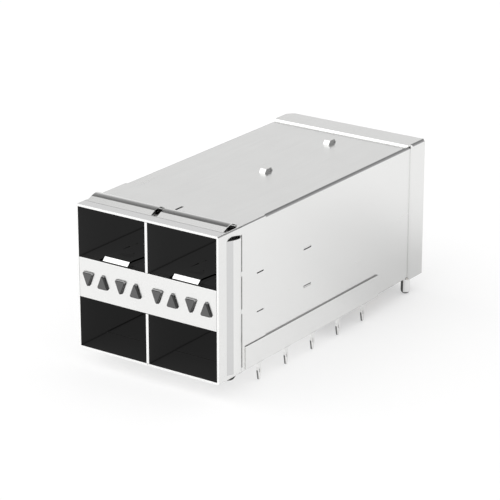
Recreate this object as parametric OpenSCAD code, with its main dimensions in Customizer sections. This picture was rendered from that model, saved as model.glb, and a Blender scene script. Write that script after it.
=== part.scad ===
// Stacked two by two SFP cage: folded sheet, sprung strips round the mouth,
// stacked connectors and light pipes inside. Millimetres, +Z up off the board,
// +X to the right seen from the mouth, +Y from the mouth to the rear.
// The origin is on the board plane, midway between the side walls, at the
// front edge of the board seat. The mouth stands board_setback in front of it.

/* [Ports] */
// Clear width of one port
port_w = 14.0; // [13.8:0.05:14.3]
// Clear height of one port
port_h = 8.95; // [8.8:0.05:9.3]
// Height of the band between the upper and the lower ports
band_h = 7.15; // [6.6:0.05:8]

/* [Sheet metal] */
// Thickness of the shell, pan, divider, separator and cover sheet
sheet_t = 0.3; // [0.25:0.01:0.35]
// Thickness of the sprung strips
strip_t = 0.1; // [0.08:0.01:0.12]
// Outer radius of the folds behind the mouth
fold_r = 0.45; // [0.4:0.05:0.6]
// Outer radius of the coined folds at the mouth
mouth_r = 0.12; // [0.08:0.01:0.15]
// Gap at seams and round tabs in their slots
fit_gap = 0.05; // [0.03:0.01:0.08]

/* [Lengths] */
// Mouth to the rear face of the cover
depth = 64.1; // [63:0.1:70]
// How far the mouth overhangs the front edge of the board seat
board_setback = 7.4; // [7.2:0.1:8]
// How far the sprung strips reach back over the shell
strip_len = 13.4; // [12.9:0.1:15]
// How far the rear cover laps over the shell
cover_lap = 5.9; // [5:0.1:6.5]

/* [Board side] */
// Height of the pan's side flanges
flange_h = 4.35; // [3.5:0.05:5]
// Length of the pan's side flanges
flange_len = 41.3; // [40:0.1:44]
// Press-fit pins on each flange
pin_count = 5; // [3:1:5]
// Distance from the mouth to the first pin
pin_first = 11.35; // [10:0.05:12]
// Pin pitch along the flange
pin_pitch = 8.08; // [7.5:0.01:8.2]
// Width of a pin
pin_w = 1.05; // [0.9:0.05:1.2]
// Length of a pin below the board plane
pin_len = 2.85; // [2.4:0.05:3.2]
// Radius of the round board pegs
peg_r = 0.88; // [0.7:0.01:1]
// Length of the pegs below the board plane
peg_len = 3.1; // [2.6:0.05:3.4]
// Distance from a peg's middle to the rear face of the cover
peg_inset = 3.7; // [3.5:0.1:4.1]

/* [Sprung strips] */
// Flat lip ahead of the bowed flaps
lip_len = 2.2; // [1.8:0.05:2.5]
// Depth at which a flap's lead-in ramp ends
ramp_end = 3.35; // [3.2:0.05:3.6]
// Height of the ramp's end above the shell
ramp_h = 0.65; // [0.5:0.01:0.75]
// Depth of a flap's crest
crest_at = 4.7; // [4.5:0.05:5]
// Height of a flap's crest above the shell
crest_h = 0.93; // [0.8:0.01:1.1]
// Depth at which a flap's free edge ends
flap_end = 6.25; // [6:0.05:6.4]
// Gap behind a flap's free edge
flap_gap = 0.35; // [0.15:0.05:0.4]
// Inset of the outer flap ends from the corners
flap_inset = 0.6; // [0.5:0.05:1.2]
// Half the gap between the two flaps of a row
flap_notch = 0.62; // [0.5:0.01:0.8]

/* [Latch tongues] */
// Width of a latch tongue
latch_w = 5.2; // [4.8:0.1:5.6]
// Width of the slot on each side of a tongue
latch_slot = 0.55; // [0.4:0.05:0.7]
// Depth at which a tongue's tip starts
latch_tip = 0.88; // [0.8:0.01:1]
// Depth of a tongue's root
latch_root = 11; // [9:0.5:12]
// How far a tongue stands into its port
latch_rise = 0.55; // [0.4:0.05:0.65]

/* [Light pipes] */
// Width of a pipe's triangular end
lens_w = 2.1; // [1.9:0.05:2.4]
// Width of the blunt tip of that triangle
lens_tip = 0.56; // [0.5:0.02:0.8]
// Height of the triangle
lens_h = 2.42; // [2.2:0.02:2.8]
// Spacing of the two lamps of a pair
lamp_pitch = 3.1; // [2.9:0.05:3.2]
// Spacing of the two pairs of a column
pair_pitch = 6.86; // [6.6:0.02:7]
// Side of a pipe's square section behind its holder
pipe_s = 1.5; // [1.3:0.05:1.6]
// Distance from the front legs of the pipes to the rear face of the cover
front_leg_inset = 6.5; // [6.3:0.1:7]
// Distance from the rear legs of the pipes to the rear face of the cover
rear_leg_inset = 3.2; // [2.8:0.1:3.4]
// Distance that a lens stands out of the band
lens_proud = 0.45; // [0.3:0.05:0.6]
// Break of the lens's front edges
lens_break = 0.16; // [0.1:0.02:0.22]

/* [Connectors] */
// Gap between a connector housing and the sheet on each side of it
housing_gap = 0.35; // [0.2:0.05:0.5]
// Distance from the rear of the connectors to the rear face of the cover
block_inset = 7.9; // [7.6:0.1:9]
// Length of a connector nose
nose_len = 8.5; // [8:0.1:9]
// Length of the upright block behind the noses
block_len = 11.2; // [11:0.1:11.6]
// Height of a connector nose
nose_h = 5.0; // [4.6:0.1:5.4]
// Height of the card slot's middle from the latch side of its port
card_at = 4.0; // [3.8:0.05:4.4]
// Height of a card slot
card_h = 1.3; // [1.2:0.05:1.5]
// Width of a card slot
card_w = 9.6; // [9.4:0.1:9.8]
// Depth of a card slot
card_d = 5.6; // [5:0.1:6]
// Contacts in each row
contact_count = 10; // [6:1:10]
// Contact pitch
contact_pitch = 0.8; // [0.7:0.01:0.8]
// Thickness of a contact blade
contact_t = 0.25; // [0.2:0.01:0.28]
// Width of a contact blade
contact_w = 0.45; // [0.4:0.05:0.5]
// Length of the contact tails below the board plane
tail_len = 2.1; // [1.8:0.05:2.4]
// Distance from the rearmost contact row to the rear of the block
row_inset = 1.6; // [1.4:0.1:2]
// Distance between contact rows
row_pitch = 2.3; // [2:0.1:2.5]
// Radius of a housing's locating posts
post_r = 0.75; // [0.6:0.05:0.9]
// Length of the posts below the board plane
post_len = 1.3; // [1:0.1:1.6]

/* [Hidden] */

eps = 0.01;
metal = "gainsboro";
LEFT = -1;
RIGHT = 1;
// Overshoot of cutters, and reach of those that cut right through
over = 1;
far = 100;
$fn = 32;

// Widths: two ports, the clip-covered divider between them, the side walls
mullion_w = sheet_t + 2 * strip_t;
inner_half = port_w + mullion_w / 2;
shell_half = inner_half + sheet_t;
port_x = (port_w + mullion_w) / 2;

// Levels, bottom to top
floor_z = sheet_t;
band_z0 = floor_z + port_h;
band_z1 = band_z0 + band_h;
band_mid = (band_z0 + band_z1) / 2;
ceil_z = band_z1 + port_h;
top_z = ceil_z + sheet_t;
wall_foot = floor_z + 0.2;

// Stations behind the mouth
mouth_len = board_setback - 0.2;
coined_len = strip_len - 0.2;
pan_front = board_setback;
pan_floor_end = 35;
flange_end = pan_front + flange_len;
cover_front = depth - cover_lap;
shell_end = depth - sheet_t - 0.1;
block_y1 = depth - block_inset;
block_y0 = block_y1 - block_len;
nose_at = block_y0 - nose_len;
leaf_end = block_y0 - 0.5;
divider_end = block_y1;

// Moves a piece drawn from the mouth so that the board seat starts at y = 0
module placed() translate([0, -board_setback, 0]) children();

// Extrudes an outline of (x, z) points from depth y0 to y1
module along_y(y0, y1)
    translate([0, y1, 0]) rotate([90, 0, 0]) linear_extrude(y1 - y0) children();

// Extrudes an outline of (y, z) points from x0 to x1
module along_x(x0, x1)
    translate([x0, 0, 0]) rotate([90, 0, 90]) linear_extrude(x1 - x0) children();

// A box between two corners
module block(a, b) translate(a) cube(b - a);

// A rectangle from (-w, z0) to (w, z1) with its top corners rounded to r
module arched(w, z0, z1, r) {
    translate([-w, z0]) square([2 * w, z1 - z0 - r]);
    translate([-w + r, z0]) square([2 * w - 2 * r, z1 - z0]);
    for (s = [LEFT, RIGHT]) translate([s * (w - r), z1 - r]) circle(r);
}

// An upside-down U of sheet whose feet are at z0
module hood(w, z0, z1, r, t) difference() {
    arched(w, z0, z1, r);
    translate([0, -eps]) arched(w - t, z0, z1 - t + eps, max(r - t, eps));
}

// ---- shell ---------------------------------------------------------------

tab_front = 10.87;
tab_front_len = 1.85;
tab_rear = 24.95;
tab_rear_len = 2.15;

// Cutters through the side walls for the separator's tabs
module tab_slots(half_h, x0, x1, rear = true)
    for (s = [LEFT, RIGHT], z = [band_z0 + sheet_t / 2, band_z1 - sheet_t / 2])
        mirror([s < 0 ? 1 : 0, 0, 0]) {
            block([x0, tab_front - fit_gap, z - half_h],
                  [x1, tab_front + tab_front_len + fit_gap, z + half_h]);
            if (rear)
                block([x0, tab_rear - fit_gap, z - half_h],
                      [x1, tab_rear + tab_rear_len + fit_gap, z + half_h]);
        }

// Tabs of the divider: the front one ends in a slot of the top sheet, the
// others each reach up under a bridge lanced out of it
top_tab_x = 0.98;
slot_tab_at = 6.9;
slot_tab_len = 2.0;
slot_gap = 0.08;
bridge_front = 31.4;
bridge_inset = 12.5;
bridges = [bridge_front, depth - bridge_inset];
bridge_len = 2.45;
bridge_w = 1.2;
bridge_x0 = top_tab_x - sheet_t / 2 - fit_gap;
bridge_x1 = bridge_x0 + bridge_w;
bridge_h = 0.65;
bridge_run = 0.5;
bridge_slope = atan2(bridge_h, bridge_run);
bridge_foot = sheet_t / sin(bridge_slope) - sheet_t / tan(bridge_slope);
bridge_shoulder = sheet_t / sin(bridge_slope) + (bridge_h - sheet_t) / tan(bridge_slope);

module top_tab_slot(z0, z1)
    block([top_tab_x - sheet_t / 2 - slot_gap, slot_tab_at - fit_gap, z0],
          [top_tab_x + sheet_t / 2 + slot_gap, slot_tab_at + slot_tab_len + fit_gap, z1]);

// Side view of a bridge, in (depth from its front, height above the top sheet)
module bridge_outline() {
    l = bridge_len;
    polygon([[-eps, -sheet_t], [-eps, 0], [0, 0], [bridge_run, bridge_h],
             [l - bridge_run, bridge_h], [l, 0], [l + eps, 0], [l + eps, -sheet_t],
             [l - bridge_foot, -sheet_t], [l - bridge_shoulder, bridge_h - sheet_t],
             [bridge_shoulder, bridge_h - sheet_t], [bridge_foot, -sheet_t]]);
}

module folded_shell() difference() {
    union() {
        // mouth, folded right round
        along_y(0, mouth_len) difference() {
            arched(shell_half, 0, top_z, mouth_r);
            translate([-inner_half, sheet_t]) square([2 * inner_half, ceil_z - sheet_t]);
        }
        along_y(mouth_len - eps, coined_len)
            hood(shell_half, wall_foot, top_z, mouth_r, sheet_t);
        along_y(coined_len - eps, shell_end)
            hood(shell_half, wall_foot, top_z, fold_r, sheet_t);
    }
    // seam where the two bottom flanges of the mouth meet
    block([-fit_gap / 2, -over, -over], [fit_gap / 2, mouth_len + over, floor_z + eps]);
    tab_slots(sheet_t / 2 + fit_gap, inner_half - over, shell_half + over);
    top_tab_slot(ceil_z - over, top_z + over);
    for (y = bridges)
        block([bridge_x0, y, ceil_z - over], [bridge_x1, y + bridge_len, top_z + over]);
}

module shell() color(metal) placed() {
    folded_shell();
    for (y = bridges)
        translate([0, y, top_z]) along_x(bridge_x0, bridge_x1) bridge_outline();
}

// ---- base pan ------------------------------------------------------------

pan_half = shell_half + sheet_t;
foot_front = 12;
foot_rear = 27;
foot_len = 3;

// One press-fit pin in its own (y, z) plane, root at z = 0
module pin_outline() difference() {
    polygon([[-pin_w / 2 - 0.2, sheet_t], [-pin_w / 2, 0], [-pin_w / 2, -pin_len * 0.42],
             [-pin_w * 0.24, -pin_len + 0.12], [-pin_w * 0.14, -pin_len],
             [pin_w * 0.14, -pin_len], [pin_w * 0.24, -pin_len + 0.12],
             [pin_w / 2, -pin_len * 0.56], [pin_w / 2, 0], [pin_w / 2 + 0.7, sheet_t]]);
    // eye that lets the pin spring in its hole
    translate([-pin_w * 0.06, -pin_len * 0.55]) square([pin_w * 0.12, pin_len * 0.3]);
}

module base_pan() color(metal) placed() {
    difference() {
        union() {
            along_y(pan_front, flange_end) difference() {
                mirror([0, 1]) arched(pan_half, -flange_h, 0, fold_r);
                translate([-shell_half, floor_z + fold_r])
                    square([2 * shell_half, flange_h + over]);
                mirror([0, 1]) arched(shell_half, -floor_z - 2 * fold_r, -floor_z, fold_r - sheet_t);
            }
        }
        // opening over which the connectors stand
        block([-inner_half + 0.15, pan_floor_end, -over],
              [inner_half - 0.15, flange_end + over, floor_z + eps]);
        for (y = [foot_front, foot_rear])
            block([-sheet_t / 2 - fit_gap, y - fit_gap, -over],
                  [sheet_t / 2 + fit_gap, y + foot_len + fit_gap, over]);
    }
    for (s = [LEFT, RIGHT], i = [0 : pin_count - 1])
        translate([0, pin_first + i * pin_pitch, 0])
            along_x(s > 0 ? shell_half : -pan_half, s > 0 ? pan_half : -shell_half)
                pin_outline();
}

// ---- rear cover ----------------------------------------------------------

cover_half = shell_half + fit_gap + sheet_t;
cover_top = top_z + fit_gap + sheet_t;
cover_foot = 0.15;
cover_bevel = 0.36;
cover_edge = 0.03;
cover_notch = 1;
side_front = cover_front + cover_notch;
relief_left = 1.8;
relief_right = 0.7;
peg_x = shell_half - 1.05;
peg_y = depth - peg_inset;
lug_half = 1.35;
stake_r = 0.42;
stake_head_r = 0.58;
stake_top = cover_foot + sheet_t + 0.22;
peg_nose = peg_r * 0.8;

// A side view from y0 to y1, up to z1, its far top corner rounded to r
module end_rounded(y0, y1, z1, r) {
    translate([y0, -over]) square([y1 - y0 - r, z1 + over]);
    translate([y0, -over]) square([y1 - y0, z1 + over - r]);
    translate([y1 - r, z1 - r]) circle(r);
}

// The cover's outside, or its hollow when shrunk by the sheet thickness
module cover_solid(shrink) intersection() {
    r = max(fold_r - shrink, 0.1);
    along_y(cover_front - over, depth - shrink)
        arched(cover_half - shrink, -over, cover_top - shrink, r);
    along_x(-cover_half, cover_half)
        end_rounded(cover_front - over, depth - shrink, cover_top - shrink, r);
    translate([0, 0, -over]) linear_extrude(cover_top + over)
        arched(cover_half - shrink, cover_front - over, depth - shrink, r);
}

module rear_cover() color(metal) placed() {
    difference() {
        cover_solid(0);
        cover_solid(sheet_t);
        block([-far, -far, -far], [far, cover_front, far]);
        // the folds and the walls start a little behind the top
        for (s = [LEFT, RIGHT]) mirror([s < 0 ? 1 : 0, 0, 0])
            block([cover_half - fold_r, -far, -far], [far, side_front, far]);
        block([-far, -far, -far], [far, far, cover_foot]);
        // relief where three folds meet, larger on the left
        for (i = [0, 1]) mirror([1 - i, 0, 0]) {
            cut = i == 0 ? relief_left : relief_right;
            translate([0, 0, cover_top - fold_r]) linear_extrude(over)
                polygon([[cover_half + eps, depth + eps], [cover_half + eps, depth - cut],
                         [cover_half - cut, depth + eps]]);
        }
        // coined bevel round the front edge
        along_x(-far, far) polygon([[cover_front - eps, cover_top + eps],
                                    [cover_front + cover_bevel, cover_top + eps],
                                    [cover_front - eps, top_z + fit_gap + cover_edge]]);
        for (s = [LEFT, RIGHT]) mirror([s < 0 ? 1 : 0, 0, 0])
            linear_extrude(far)
                polygon([[cover_half + eps, side_front - eps],
                         [cover_half + eps, side_front + cover_bevel],
                         [shell_half + fit_gap + cover_edge, side_front - eps]]);
    }
    // beads under the front edges that bear on the shell's top and sides
    block([fold_r - shell_half, cover_front, top_z],
          [shell_half - fold_r, cover_front + sheet_t, top_z + fit_gap + eps]);
    for (s = [LEFT, RIGHT]) mirror([s < 0 ? 1 : 0, 0, 0])
        block([shell_half, side_front, wall_foot + fit_gap],
              [shell_half + fit_gap + eps, side_front + sheet_t, top_z - fold_r]);
    // lugs folded in under the walls, one for each board peg
    for (s = [LEFT, RIGHT]) mirror([s < 0 ? 1 : 0, 0, 0]) difference() {
        block([peg_x - lug_half, peg_y - lug_half, cover_foot],
              [cover_half - eps, peg_y + lug_half, cover_foot + sheet_t]);
        translate([peg_x, peg_y, -far]) cylinder(h = 2 * far, r = stake_r + 0.02);
    }
}

// One board peg: round-nosed shank, staked through its lug
module board_peg(s) color(metal) placed() translate([s * peg_x, peg_y, 0])
    rotate_extrude() polygon(concat(
        [for (i = [0 : 5]) [peg_r * sin(i * 18), peg_nose * (1 - cos(i * 18)) - peg_len]],
        [[peg_r, cover_foot], [stake_r, cover_foot], [stake_r, cover_foot + sheet_t],
         [stake_head_r, cover_foot + sheet_t], [stake_head_r * 0.8, stake_top], [0, stake_top]]));

// ---- separator -----------------------------------------------------------

sep_half = inner_half - fit_gap;
sep_r = 0.12;

// Lamp positions across one column and the way each triangle points
lamp_at = [-pair_pitch / 2 - lamp_pitch / 2, -pair_pitch / 2 + lamp_pitch / 2,
           pair_pitch / 2 - lamp_pitch / 2, pair_pitch / 2 + lamp_pitch / 2];
function points_up(i) = i % 2 == 1;

// A lamp's blunt triangle, grown by g
module lens_outline(up, g = 0) mirror([0, up ? 0 : 1]) {
    w = lens_w / 2 + g;
    t = lens_tip / 2 + g;
    h = lens_h / 2 + g;
    c = 0.2;
    polygon([[-w, -h + c], [-w + c, -h], [w - c, -h], [w, -h + c],
             [t, h - c], [t - c * 0.8, h], [-t + c * 0.8, h], [-t, h - c]]);
}

// A tongue's side view, in (depth, height above its plate's outer face)
latch_crest = latch_tip + latch_rise + 0.1;
module tongue_outline() polygon([
    [latch_root + 0.2, 0], [latch_root, 0], [latch_crest + 0.9, latch_rise],
    [latch_crest, latch_rise - 0.04], [latch_tip, -0.12],
    [latch_tip + 0.2, -0.12 - sheet_t * 0.7], [latch_crest + 0.15, latch_rise - sheet_t * 1.1],
    [latch_crest + 0.9, latch_rise - sheet_t], [latch_root, -sheet_t],
    [latch_root + 0.2, -sheet_t]]);

// One leaf with its tongue; z = 0 is the face on the port side
module leaf(s) {
    cx = s * port_x;
    x0 = sheet_t / 2 + fit_gap;
    difference() {
        mirror([s < 0 ? 1 : 0, 0, 0]) {
            block([x0, sheet_t - eps, -sheet_t], [sep_half, leaf_end, 0]);
            block([sep_half - eps, tab_front, -sheet_t],
                  [shell_half - 0.12, tab_front + tab_front_len, 0]);
            block([sep_half - eps, tab_rear, -sheet_t],
                  [shell_half - 0.04, tab_rear + tab_rear_len, 0]);
        }
        // slot round the tongue, closed at its root
        block([cx - latch_w / 2 - latch_slot, sheet_t + 0.15, -over],
              [cx + latch_w / 2 + latch_slot, latch_root, over]);
    }
    difference() {
        along_x(cx - latch_w / 2, cx + latch_w / 2) tongue_outline();
        // hole for the module's latch boss
        translate([cx, 0, -over]) linear_extrude(2 * over)
            polygon([[-1.35, 3.4], [1.35, 3.4], [1.35, 4.6], [0, 6.2], [-1.35, 4.6]]);
    }
}

module separator() color(metal) placed() {
    difference() {
        along_x(-sep_half, sep_half) difference() {
            union() {
                translate([0, band_z0 + sep_r]) square([sheet_t, band_h - 2 * sep_r]);
                translate([sep_r, band_z0]) square([sheet_t - sep_r, band_h]);
                for (z = [band_z0 + sep_r, band_z1 - sep_r])
                    translate([sep_r, z]) circle(sep_r);
            }
        }
        for (s = [LEFT, RIGHT], i = [0 : 3])
            translate([s * port_x + lamp_at[i], over, band_mid]) rotate([90, 0, 0])
                linear_extrude(2 * over) lens_outline(points_up(i), 0.06);
    }
    for (s = [LEFT, RIGHT]) {
        translate([0, 0, band_z1]) leaf(s);
        translate([0, 0, band_z0]) mirror([0, 0, 1]) leaf(s);
    }
}

// ---- divider -------------------------------------------------------------

divider_top = ceil_z - 0.02;

// The step of a tab, bent aside under the top sheet as far as x1
module tab_step(y, l, x1)
    block([-sheet_t / 2, y, divider_top - sheet_t], [x1, y + l, divider_top]);

// A tab's end that stands up in a bridge and fills its side
module bridge_tab_outline() {
    l = bridge_len;
    g = fit_gap / sin(bridge_slope);
    under = divider_top - top_z - eps;
    crown = bridge_h - sheet_t - fit_gap;
    polygon([[bridge_foot + g, under], [bridge_foot + g, -sheet_t],
             [bridge_shoulder + g, crown], [l - bridge_shoulder - g, crown],
             [l - bridge_foot - g, -sheet_t], [l - bridge_foot - g, under]]);
}

module divider() color(metal) placed() {
    difference() {
        block([-sheet_t / 2, strip_t, floor_z + 0.02], [sheet_t / 2, divider_end, ceil_z - 0.02]);
        // the separator's band passes in front
        block([-far, -far, band_z0 - fit_gap], [far, sheet_t + fit_gap, band_z1 + fit_gap]);
    }
    for (y = [foot_front, foot_rear])
        block([-sheet_t / 2, y, 0.04], [sheet_t / 2, y + foot_len, floor_z + 0.1]);
    slot_x1 = top_tab_x + sheet_t / 2;
    tab_step(slot_tab_at, slot_tab_len, slot_x1);
    block([slot_x1 - sheet_t, slot_tab_at, divider_top - eps],
          [slot_x1, slot_tab_at + slot_tab_len, top_z - 0.06]);
    tab_x1 = bridge_x1 - 0.03;
    tab_in = bridge_foot + fit_gap / sin(bridge_slope);
    for (y = bridges) {
        tab_step(y + tab_in, bridge_len - 2 * tab_in, tab_x1);
        translate([0, y, top_z]) along_x(tab_x1 - sheet_t, tab_x1) bridge_tab_outline();
    }
}

// ---- sprung strips -------------------------------------------------------

function bez(p, q, r, s, t) = pow(1 - t, 3) * p + 3 * t * pow(1 - t, 2) * q
                            + 3 * t * t * (1 - t) * r + t * t * t * s;
bow_steps = 8;

// A flap's outer line from its root to its free edge, in (depth, height)
flap_line = concat(
    [[lip_len - 0.3, strip_t], [lip_len, strip_t]],
    [for (i = [0 : bow_steps]) bez([ramp_end, ramp_h], [ramp_end + 0.45, ramp_h + 0.13],
        [crest_at - 0.4, crest_h], [crest_at, crest_h], i / bow_steps)],
    [for (i = [1 : bow_steps]) bez([crest_at, crest_h], [crest_at + 0.6, crest_h],
        [flap_end - 0.4, strip_t + 0.4], [flap_end, strip_t + 0.02], i / bow_steps)]);
flap_last = len(flap_line) - 1;

// The same line one thickness in, square to the sheet
function flap_dir(i) = flap_line[min(i + 1, flap_last)] - flap_line[max(i - 1, 0)];
flap_inner = [for (i = [0 : flap_last])
    flap_line[i] - strip_t * [-flap_dir(i)[1], flap_dir(i)[0]] / norm(flap_dir(i))];
flap_points = concat(flap_line, [for (i = [flap_last : -1 : 0]) flap_inner[i]]);

// One strip, lying on z = 0: sheet out to (x0, x1, len), flaps over given spans,
// each with short webs that tie its free edge to the sheet behind
module strip(x0, x1, length, spans, webs) {
    difference() {
        block([x0, 0, 0], [x1, length, strip_t]);
        for (s = spans)
            block([s[0], lip_len, -over], [s[1], flap_end + flap_gap, over]);
    }
    for (s = spans)
        along_x(s[0], s[1]) polygon(flap_points);
    for (w = webs)
        along_x(w - 0.4, w + 0.4)
            polygon([[flap_end - 0.16, strip_t + 0.1], [flap_end + flap_gap + eps, strip_t],
                     [flap_end + flap_gap + eps, 0], [flap_end - 0.1, 0.02]]);
}

// The strips stop short of the shell's folds, which show between them
strip_half = shell_half - mouth_r;
row_spans = [[-shell_half + flap_inset, -flap_notch], [flap_notch, shell_half - flap_inset]];
row_webs = [-port_x - 3, -port_x + 3, port_x - 3, port_x + 3];

module emi_strip_top() color(metal) placed() difference() {
    translate([0, 0, top_z]) strip(-strip_half, strip_half, strip_len, row_spans, row_webs);
    top_tab_slot(top_z - over, top_z + over);
}

module emi_strip_bottom() color(metal) placed()
    mirror([0, 0, 1])
        strip(-strip_half, strip_half, mouth_len - 0.3, row_spans, row_webs);

side_spans = [[0.9, top_z - 1.4]];
side_webs = [band_z0 + 1.6, band_z1 + 1.04];

// A side strip stands on the shell's wall, clear of the top and bottom strips
module side_strip(s) mirror([s < 0 ? 1 : 0, 0, 0]) difference() {
    translate([shell_half, 0, 0]) rotate([0, 90, 0]) mirror([1, 0, 0])
        strip(mouth_r, top_z - mouth_r, strip_len, side_spans, side_webs);
    // cut away round the pan's flange
    block([shell_half - over, pan_front - 0.1, -over],
          [shell_half + over, strip_len + over, flange_h + fit_gap]);
    tab_slots(0.11, shell_half - over, shell_half + over, rear = false);
}

module emi_strip_left() color(metal) placed() side_strip(LEFT);
module emi_strip_right() color(metal) placed() side_strip(RIGHT);

clip_len = slot_tab_at - 0.2;

module divider_clip(z0, z1) color(metal) placed() difference() {
    block([-mullion_w / 2, 0, z0], [mullion_w / 2, clip_len, z1]);
    block([-sheet_t / 2, strip_t, z0 - over], [sheet_t / 2, clip_len + over, z1 + over]);
}

module divider_clip_upper()
    divider_clip(band_z1 + fit_gap, ceil_z - fit_gap);
module divider_clip_lower()
    divider_clip(floor_z + fit_gap, band_z0 - fit_gap);

// ---- light pipes ---------------------------------------------------------

holder_y0 = 5;
holder_len = 3.2;
prism_end = holder_y0 + holder_len + 0.6;
bend_start = 16;
bend_end = 33;
lane_x = 5.5;
lane_dz = 1.75;
led_z = 0.9;
leg_y = [depth - front_leg_inset, depth - rear_leg_inset];

// A slice of square pipe, for the hulls that sweep the bends
module pipe_slice(x, y, z)
    translate([x - pipe_s / 2, y, z - pipe_s / 2]) cube([pipe_s, eps, pipe_s]);

// One pipe of a column: i counts the lamps from the left.
// Outer lamps take the low lane and the front leg, inner ones the high lane.
module light_pipe(s, i) color("gray") placed() {
    up = points_up(i);
    outer = i == 0 || i == 3;
    x = s * port_x + lamp_at[i];
    lane = s * port_x + (i < 2 ? -lane_x : lane_x);
    z = band_mid + (outer ? -lane_dz : lane_dz);
    leg = leg_y[outer ? 0 : 1];
    // lens with its edges broken
    translate([x, 0, band_mid]) rotate([90, 0, 0]) {
        translate([0, 0, -prism_end])
            linear_extrude(prism_end + lens_proud - lens_break) lens_outline(up);
        hull() {
            linear_extrude(lens_proud - lens_break) lens_outline(up);
            linear_extrude(lens_proud - lens_break * 0.3) lens_outline(up, -lens_break * 0.3);
            linear_extrude(lens_proud) lens_outline(up, -lens_break);
        }
    }
    hull() {
        translate([x, prism_end, band_mid]) rotate([90, 0, 0])
            linear_extrude(eps) lens_outline(up);
        pipe_slice(x, bend_start, band_mid);
    }
    hull() {
        pipe_slice(x, bend_start, band_mid);
        pipe_slice(lane, bend_end, z);
    }
    // straight run, mirror corner and the leg down to the lamp
    along_x(lane - pipe_s / 2, lane + pipe_s / 2) polygon([
        [bend_end, z - pipe_s / 2], [leg, z - pipe_s / 2], [leg, led_z],
        [leg + pipe_s, led_z], [leg + pipe_s, z - pipe_s * 0.2],
        [leg + pipe_s * 0.3, z + pipe_s / 2], [bend_end, z + pipe_s / 2]]);
}

module light_pipe_1() light_pipe(LEFT, 0);
module light_pipe_2() light_pipe(LEFT, 1);
module light_pipe_3() light_pipe(LEFT, 2);
module light_pipe_4() light_pipe(LEFT, 3);
module light_pipe_5() light_pipe(RIGHT, 0);
module light_pipe_6() light_pipe(RIGHT, 1);
module light_pipe_7() light_pipe(RIGHT, 2);
module light_pipe_8() light_pipe(RIGHT, 3);

// Comb that bridges the channel between the divider and the side wall and
// holds four pipes clear of the latch tongues
holder_gap = 0.35;
module light_pipe_holder(s) color("dimgray") placed() difference() {
    x0 = sheet_t / 2 + fit_gap;
    mirror([s < 0 ? 1 : 0, 0, 0])
        block([x0, holder_y0, band_z0 + sheet_t + holder_gap],
              [inner_half - fit_gap, holder_y0 + holder_len, band_z1 - sheet_t - holder_gap]);
    for (i = [0 : 3])
        translate([s * port_x + lamp_at[i], holder_y0 + holder_len + over, band_mid])
            rotate([90, 0, 0]) linear_extrude(holder_len + 2 * over)
                lens_outline(points_up(i), 0.04);
}

module light_pipe_holder_left() light_pipe_holder(LEFT);
module light_pipe_holder_right() light_pipe_holder(RIGHT);

// ---- connectors ----------------------------------------------------------

housing_x = (sheet_t / 2 + inner_half) / 2;
housing_w = inner_half - sheet_t / 2 - 2 * housing_gap;
housing_top = ceil_z - 0.4;
nose_half = 5.8;
waist_half = 4.35;
upper_card = band_z1 + card_at;
lower_card = band_z0 - card_at;

// Contact rows: height above the card's middle, depth of the upright leg
row_dz = card_h / 2 + contact_w / 2 + 0.05;
leg_at = [for (k = [0, 2]) [for (r = [0, 1]) block_y1 - row_inset - (k + r) * row_pitch]];

function contact_x(i) = (i - (contact_count - 1) / 2) * contact_pitch;

// A blade's side view: sprung tip in the card slot, beam back, leg down, tail.
// card is the card's height, dir +1 for the row above it, leg the leg's depth
module contact_outline(card, dir, leg) {
    z = card + dir * row_dz;
    w = contact_w / 2;
    tip = nose_at + 1.2;
    bow = nose_at + 2.0;
    polygon([[tip, z + dir * w], [tip, z], [bow, z - dir * (w + 0.32)],
             [bow + 0.5, z - dir * (w + 0.32)], [bow + 1.6, z - dir * w],
             [nose_at + card_d, z - dir * w], [nose_at + card_d, z + dir * w]]);
    translate([nose_at + card_d - eps, z - w]) square([leg + w - nose_at - card_d, 2 * w]);
    translate([leg - w, -0.02]) square([2 * w, z + w + 0.02]);
    polygon([[leg - w, 0], [leg - w, -tail_len * 0.7], [leg - w * 0.3, -tail_len],
             [leg + w * 0.3, -tail_len], [leg + w, -tail_len * 0.7], [leg + w, 0]]);
}

// Slot that a blade slides into from the rear, clear of it by g
module contact_slot(card, dir, leg, g) {
    z = card + dir * row_dz;
    w = contact_w / 2 + g;
    translate([nose_at + 0.8, min(z - w, z - dir * (w + 0.32))])
        square([card_d - 0.8, 2 * w + 0.32]);
    translate([nose_at + card_d - eps, z - w]) square([leg + w - nose_at - card_d, 2 * w]);
    translate([leg - w, -over]) square([2 * w, z + w + over]);
}

// Locating posts of a housing, in (x off its middle, depth), set corner to corner
post_left = 5.3;
post_right = 4.9;
posts = [[-post_left, block_y1 - 1.6], [post_right, block_y0 + 1.3]];

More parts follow.
